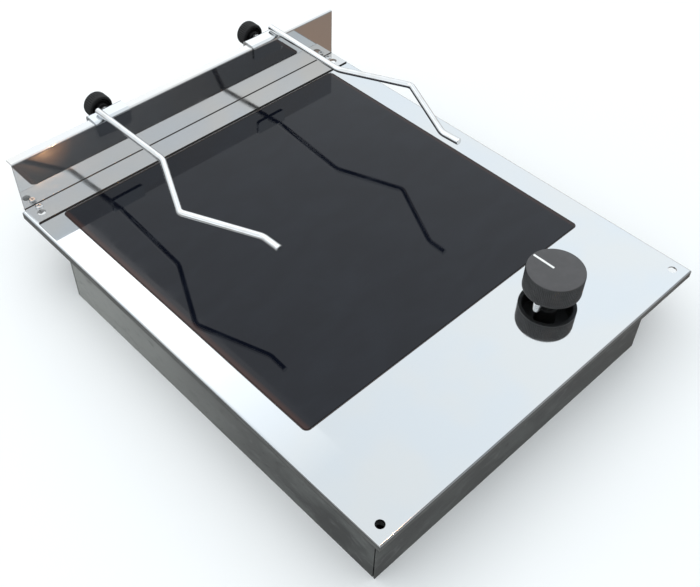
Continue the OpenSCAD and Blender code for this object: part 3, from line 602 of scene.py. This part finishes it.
def grub_screw_way(at, reach):
    """A bar from the knob's axis out through its side, just wider than the set screw."""
    low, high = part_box("knob_set_screw")
    radius = (high.y - low.y) / 2 + 0.1 * MM
    length = reach + 2 * MM
    mesh = bpy.data.meshes.new("grub_way")
    bm = bmesh.new()
    middle = Matrix.Translation((at.x + length / 2, at.y, (low.z + high.z) / 2))
    bmesh.ops.create_cone(bm, cap_ends=True, segments=32, radius1=radius, radius2=radius, depth=length,
                          matrix=middle @ Matrix.Rotation(math.pi / 2, 4, "Y"))
    bm.to_mesh(mesh)
    bm.free()
    return mesh


POINTER_END = 0.5 * MM
POINTER_GAP = 0.05 * MM


def pointer_outline(grow, steps=5):
    """The pointer's outline seen from above: a bar with rounded corners, grown by `grow`."""
    low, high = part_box("knob_pointer")
    r = POINTER_END + grow
    corners = [(high.x, high.y, 0), (low.x, high.y, 90), (low.x, low.y, 180), (high.x, low.y, 270)]
    points = []
    for x, y, start in corners:
        cx = x - POINTER_END if start in (0, 270) else x + POINTER_END
        cy = y - POINTER_END if start in (0, 90) else y + POINTER_END
        for i in range(steps + 1):
            a = math.radians(start + 90 * i / steps)
            points.append((cx + r * math.cos(a), cy + r * math.sin(a)))
    return points


def prism(name, rings):
    """A closed solid through several outlines of equal length: [(outline, z), ...] from the bottom up."""
    n = len(rings[0][0])
    verts = [(x, y, z) for outline, z in rings for x, y in outline]
    faces = [tuple(reversed(range(n))), tuple(range((len(rings) - 1) * n, len(rings) * n))]
    for k in range(len(rings) - 1):
        for i in range(n):
            j = (i + 1) % n
            faces.append((k * n + i, k * n + j, (k + 1) * n + j, (k + 1) * n + i))
    return mesh_from(name, verts, faces)


def pointer_slot():
    """The pointer's bed in the knob, open at the top."""
    low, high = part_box("knob_pointer")
    outline = pointer_outline(POINTER_GAP)
    return prism("pointer_slot", [(outline, low.z + 0.02 * MM), (outline, high.z + 1 * MM)])


def knob_pointer():
    """The white bar in the knob's top, with a slight chamfer."""
    low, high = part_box("knob_pointer")
    rings = [(pointer_outline(0), low.z), (pointer_outline(0), high.z - 0.12 * MM),
             (pointer_outline(-0.1 * MM), high.z)]
    new_piece("inlaid_pointer", prism("inlaid_pointer", rings), "knob_pointer")


# ---- Holder rods ----------------------------------------------------------------------

ROD_RADIUS = 2.75 * MM
ROD_SIDES = 28
ROD_CHAMFER = 0.25 * MM
ROD_SINK = 0.15 * MM  # into the clamp, where it is welded on
# For each rod, in mm: where it starts beside its clamp's left end, then the drift in X from there of each
# bend and of the end. The rise towards the front is in degrees.
ROD_START = {"left_rod": 9.25, "right_rod": 30.65}
ROD_DRIFTS = {"left_rod": (-2.3, -32, -6.5, -6.8), "right_rod": (-4.6, 22.8, -8.8, -8.4)}
ROD_RISE = {"left_rod": 3.6, "right_rod": 2.2}
# Distance from the plate's front edge of the start, then of the bends and the end; the bends' inner radii
ROD_START_DEPTH = {"left_rod": 423, "right_rod": 425}
ROD_DEPTHS = (329, 267, 203, 185)
ROD_BENDS = (16, 5, 12)


def rod_path(node):
    """The rod's corner points, from its weld to its free end."""
    clamp_low, clamp_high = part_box(node.replace("rod", "clamp"))
    x0 = clamp_low.x + ROD_START[node] * MM
    rise = math.tan(math.radians(ROD_RISE[node]))
    drifts = (0, *ROD_DRIFTS[node])
    depths = (ROD_START_DEPTH[node], *ROD_DEPTHS)
    weld_z = clamp_high.z + ROD_RADIUS - ROD_SINK
    points = []
    for drift, depth in zip(drifts, depths):
        y = PLATE_FRONT + depth * MM
        points.append(Vector((x0 + drift * MM, y, weld_z + (depths[0] - depth) * MM * rise)))
    return points


def rounded_path(points, radii, steps=9):
    """The path with each inner corner replaced by an arc of its radius."""
    path = [points[0]]
    for i, radius in enumerate(radii):
        before, corner, after = points[i], points[i + 1], points[i + 2]
        u = (before - corner).normalized()
        v = (after - corner).normalized()
        half = u.angle(v) / 2
        back = radius / math.tan(half)
        center = corner + (u + v).normalized() * (radius / math.sin(half))
        start = corner + u * back - center
        sweep = math.pi - 2 * half
        axis = u.cross(v).normalized()
        for k in range(steps + 1):
            path.append(center + Matrix.Rotation(-sweep * k / steps, 3, axis) @ start)
    path.append(points[-1])
    return path


def swept(path, radius, sides, chamfer):
    """A round bar along a path, with slightly chamfered square ends."""
    first = (path[1] - path[0]).normalized()
    last = (path[-1] - path[-2]).normalized()
    rings = [(path[0], radius - chamfer), (path[0] + first * chamfer, radius)]
    rings += [(p, radius) for p in path[1:-1]]
    rings += [(path[-1] - last * chamfer, radius), (path[-1], radius - chamfer)]
    side = first.cross(Vector((0, 0, 1))).normalized()
    verts, faces = [], []
    for i, (p, r) in enumerate(rings):
        ahead = rings[min(i + 1, len(rings) - 1)][0] - rings[max(i - 1, 0)][0]
        along = ahead.normalized()
        side = (side - along * side.dot(along)).normalized()
        up = along.cross(side)
        for k in range(sides):
            a = 2 * math.pi * k / sides
            verts.append(p + side * (r * math.cos(a)) + up * (r * math.sin(a)))
    for i in range(len(rings) - 1):
        for k in range(sides):
            m = (k + 1) % sides
            faces.append((i * sides + k, i * sides + m, (i + 1) * sides + m, (i + 1) * sides + k))
    faces.append(tuple(reversed(range(sides))))
    faces.append(tuple(range((len(rings) - 1) * sides, len(rings) * sides)))
    return verts, faces


def holder_rod(node):
    radii = [r * MM + ROD_RADIUS for r in ROD_BENDS]
    path = rounded_path(rod_path(node), radii)
    verts, faces = swept(path, ROD_RADIUS, ROD_SIDES, ROD_CHAMFER)
    new_piece("bent_" + node, mesh_from("bent_" + node, verts, faces), node)


# ---- Thumb knobs ----------------------------------------------------------------------

THUMB_RIBS = 36
THUMB_RIB_DEPTH = 0.55 * MM
THUMB_FRONT = 1.2 * MM  # how far the hub stands out in front of the rim
THUMB_EDGE = 1.4 * MM
THUMB_FLOOR = THUMB_FRONT + 3.0 * MM
THUMB_RIDGE = THUMB_FRONT + 1.1 * MM


def thumb_knob(node):
    """A knob turned about Y: hub, then a ridge in a recess, towards the clamp; knurled rim; dished back."""
    low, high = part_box(node)
    r = (high.x - low.x) / 2
    skin = r - 0.25 * MM
    full = high.y - low.y
    # Hub
    profile = [(AXIS_GAP, 0, 0), (4.6 * MM, 0, 0), (5.0 * MM, 0.4 * MM, 0)]
    profile += [(5.0 * MM, THUMB_FRONT + 0.9 * MM, 0)]
    # Recess with a ridge in it
    profile += [(5.7 * MM, THUMB_FLOOR, 0), (6.3 * MM, THUMB_FLOOR, 0), (6.6 * MM, THUMB_RIDGE + 0.2 * MM, 0)]
    profile += [(6.8 * MM, THUMB_RIDGE, 0), (7.2 * MM, THUMB_RIDGE, 0), (7.4 * MM, THUMB_RIDGE + 0.2 * MM, 0)]
    profile += [(7.6 * MM, THUMB_FLOOR, 0), (r - 3.2 * MM, THUMB_FLOOR, 0)]
    profile += [(r - 2.6 * MM, THUMB_FLOOR - 0.6 * MM, 0), (r - 2.6 * MM, THUMB_FRONT + 0.4 * MM, 0)]
    # Rim
    profile += [(r - 2.3 * MM, THUMB_FRONT, 0), (r - 0.3 * MM - THUMB_EDGE, THUMB_FRONT, 0)]
    profile += arc((skin - THUMB_EDGE, THUMB_FRONT + THUMB_EDGE), THUMB_EDGE, -75, -15, 4)
    profile += [(skin, THUMB_FRONT + THUMB_EDGE, 0)]
    profile += ribbed_rows(r, THUMB_FRONT + THUMB_EDGE + 0.5 * MM, full - THUMB_EDGE - 0.5 * MM, 5)
    profile += [(skin, full - THUMB_EDGE, 0)]
    profile += arc((skin - THUMB_EDGE, full - THUMB_EDGE), THUMB_EDGE, 15, 80, 4)
    # Back
    profile += [(r - 3.2 * MM, full, 0), (r - 3.6 * MM, full - 0.4 * MM, 0), (r - 5.2 * MM, full - 0.5 * MM, 0)]
    profile += [(r - 5.6 * MM, full - 0.1 * MM, 0), (AXIS_GAP, full - 0.1 * MM, 0)]
    verts, faces = lathe(profile, THUMB_RIBS, THUMB_RIB_DEPTH)
    turn = Matrix.Rotation(-math.pi / 2, 4, "X")
    shift = Matrix.Translation(((low.x + high.x) / 2, low.y, (low.z + high.z) / 2))
    placed = [shift @ (turn @ v) for v in verts]
    new_piece("knurled_" + node, mesh_from("knurled_" + node, placed, faces), node)


# ---- Light and floor ------------------------------------------------------------------

SKY_TINT = (0.95, 1.0, 1.03)
LIGHT_HEIGHT = PLATE_TOP + 1.2
LAMP_AT = Vector((0.527, -1.415, 1.274))
LAMP_AIM = (-0.1, 0.15, 0.05)


def world_light():
    """A soft, slightly blue studio dome: darker low at the front, brightest low on the left."""
    world = bpy.data.worlds.new("studio")
    bpy.context.scene.world = world
    world.use_nodes = True
    tree = world.node_tree
    toward = split(tree, tree.nodes.new("ShaderNodeTexCoord").outputs["Generated"])

    def ramp(name, low, high, to_low, to_high):
        return map_range(tree, toward[name], low, high, to_low, to_high)

    def both(a, b):
        return math_node(tree, "MULTIPLY", a, b)

    low_band = both(ramp("Z", 0.0, 0.08, 0, 1), ramp("Z", 0.40, 0.60, 1, 0))
    low_front = both(ramp("Y", -0.75, -0.3, 1, 0), low_band)
    low_left = both(ramp("X", -0.9, -0.5, 1, 0), ramp("Z", 0.1, 0.5, 1, 0))
    strength = math_node(tree, "SUBTRACT", ramp("Z", 0.0, 0.6, 0.85, 1.12), both(low_front, 0.75))
    strength = math_node(tree, "ADD", strength, both(low_left, 0.5))
    strength = math_node(tree, "ADD", strength, ramp("X", 0.3, 0.8, 0, 0.16))
    back = tree.nodes["Background"]
    back.inputs["Color"].default_value = (*SKY_TINT, 1)
    tree.links.new(strength, back.inputs["Strength"])


def area_light(name, at, toward, size, power, color, seen_by_diffuse=True):
    """A light of size metres and power watts; one that diffuse faces don't see shows only in reflections."""
    data = bpy.data.lights.new(name, "AREA")
    data.shape = "RECTANGLE"
    data.size, data.size_y = size
    data.energy = power
    data.color = color
    obj = bpy.data.objects.new(name, data)
    obj.location = at
    obj.rotation_euler = (Vector(toward) - Vector(at)).to_track_quat("-Z", "Y").to_euler()
    obj.visible_diffuse = seen_by_diffuse
    bpy.context.scene.collection.objects.link(obj)
    return obj


def fade(light, strength):
    """Varies an area light's strength over its face: strength(tree, place), with place from 0 to 1 each way."""
    light.data.use_nodes = True
    tree = light.data.node_tree
    place = tree.nodes.new("ShaderNodeNewGeometry").outputs["Parametric"]
    tree.links.new(strength(tree, place), tree.nodes["Emission"].inputs["Strength"])


def fade_front(light):
    """Lets an area light fade out towards one edge."""
    fade(light, lambda tree, place: map_range(tree, split(tree, place)["Y"], 0, 0.6, smooth=False))


def glow(light):
    """Makes an area light round, and lets it fade out from its middle to its edge."""
    light.data.shape = "DISK"
    fade(light, lambda tree, place: map_range(tree, distance_from(tree, place, (0.5, 0.5, 0)), 0.5, 0.1))


FLOOR_HALF = 6.0
FLOOR_PALE = (0.94, 0.94, 0.935)
GROUND_GREY = (0.36, 0.365, 0.365)
GROUND_BROWN = (0.36, 0.275, 0.225)
BROWN_AT = (0.36, 0.02, 0)


def floor():
    """A plain pale floor. Mirror-like faces see it as a darker ground, warmer to the right of the plate: a
    painted reflection, from an emission that only glossy rays see.
    """
    mesh = bpy.data.meshes.new("floor")
    s = FLOOR_HALF
    mesh.from_pydata([(-s, -s, 0), (s, -s, 0), (s, s, 0), (-s, s, 0)], [], [(0, 1, 2, 3)])
    obj = bpy.data.objects.new("floor", mesh)
    bpy.context.scene.collection.objects.link(obj)
    f = Finish("floor", FLOOR_PALE, 0.8)
    # Painted reflection: the glowing ground that glossy rays see in place of the pale floor
    ground = f.tree.nodes.new("ShaderNodeEmission")
    brown = f.remap(distance_from(f.tree, f.place, BROWN_AT), 0.14, 0.42, 1, 0)
    f.tree.links.new(f.mixed(brown, GROUND_GREY, GROUND_BROWN), ground.inputs["Color"])
    choice = f.tree.nodes.new("ShaderNodeMixShader")
    f.tree.links.new(f.tree.nodes.new("ShaderNodeLightPath").outputs["Is Glossy Ray"], choice.inputs[0])
    f.tree.links.new(f.shader.outputs[0], choice.inputs[1])
    f.tree.links.new(ground.outputs[0], choice.inputs[2])
    f.tree.links.new(choice.outputs[0], f.tree.nodes["Material Output"].inputs["Surface"])
    mesh.materials.append(f.material)


def stage():
    world_light()
    floor()
    # Softbox whose right edge shows along the left border of the plate, fading out towards the front
    fade_front(area_light("softbox", (-0.285, 0.95, LIGHT_HEIGHT), (-0.285, 0.95, 0), (1.42, 1.10), 4.6,
                          (1.0, 0.97, 0.95)))
    # Long box further back, for the tops of the rail, the clamps and the rods
    area_light("back_box", (1.0, 1.86, LIGHT_HEIGHT), (1.0, 1.86, 0), (2.0, 0.62), 1.5, (1.0, 0.99, 0.98))
    # Low warm lamp in a glow, far in front on the right
    behind = LAMP_AT - Vector((0, 0.02, 0))
    glow(area_light("lamp", LAMP_AT, LAMP_AIM, (0.05, 0.05), 1.9, (1.0, 0.55, 0.25), False))
    glow(area_light("lamp_glow", behind, LAMP_AIM, (0.22, 0.22), 1.1, (1.0, 0.45, 0.18), False))
    bpy.context.scene.view_settings.view_transform = "Standard"


# ---- Build ----------------------------------------------------------------------------

make_camera()
dress_cad_nodes()
control_knob()
knob_pointer()
for rod in ("left_rod", "right_rod"):
    holder_rod(rod)
for thumb in ("left_thumb_knob", "right_thumb_knob"):
    thumb_knob(thumb)
for name in SOFT_EDGES:
    softened(name)
stage()
